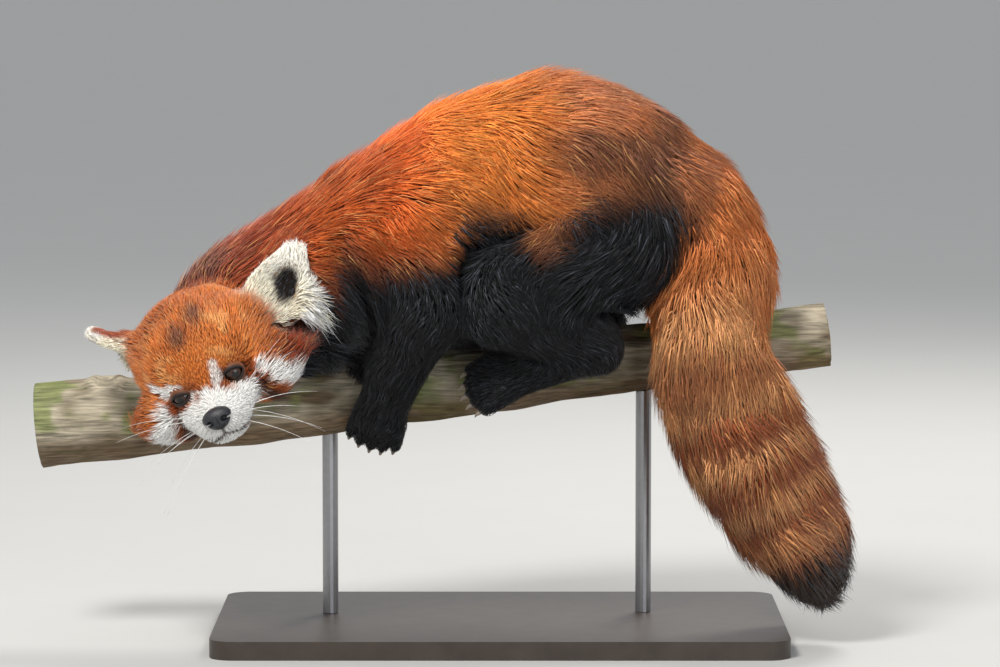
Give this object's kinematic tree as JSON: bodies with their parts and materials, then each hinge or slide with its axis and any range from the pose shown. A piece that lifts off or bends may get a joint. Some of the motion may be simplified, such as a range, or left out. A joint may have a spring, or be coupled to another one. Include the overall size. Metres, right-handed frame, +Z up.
{
  "type": "red panda on a branch, still museum model",
  "caption": "Life-size red panda lying along a cut branch, head hung forward and looking out, forepaw and hind foot gripping the wood, bushy ringed tail hanging, on a plain display stand.",
  "frame": {"origin": "centre of the display stand's underside, on the floor", "axes": "+X along the branch towards the tail, -Y towards a viewer who sees the animal's left side, +Z up"},
  "size_m": [0.6215, 0.2913, 0.4218],
  "materials": {
    "rust_fur": "dense matt coat, rust to ginger",
    "chestnut_fur": "dense matt coat, dark mahogany",
    "black_fur": "dense coat, black with a grey-blue sheen",
    "cream_fur": "soft matt coat, cream",
    "ringed_fur": "long coat in buff and rust rings, dark tip",
    "eye": "polished, dark brown",
    "nose_skin": "moist, finely pebbled",
    "bark": "weathered bark with green growth",
    "stand_wood": "dark satin",
    "stand_metal": "satin"
  },
  "bodies": {
    "root": {"torso": "rust_fur", "head": "rust_fur", "neck": "chestnut_fur", "upper_arm_left": "black_fur", "upper_arm_right": "black_fur", "forearm_left": "black_fur", "forearm_right": "black_fur", "forepaw_left": "black_fur", "forepaw_right": "black_fur", "thigh_left": "black_fur", "thigh_right": "black_fur", "shank_left": "black_fur", "shank_right": "black_fur", "hind_foot_left": "black_fur", "hind_foot_right": "black_fur", "ear_left": "cream_fur", "ear_right": "cream_fur", "tail_1": "ringed_fur", "tail_2": "ringed_fur", "tail_3": "ringed_fur", "tail_4": "ringed_fur", "tail_5": "ringed_fur", "eye_left": "eye", "eye_right": "eye", "nose": "nose_skin", "perch": "bark", "stand_base": "stand_wood", "stand_rod_1": "stand_metal", "stand_rod_2": "stand_metal"}
  },
  "joints": []
}
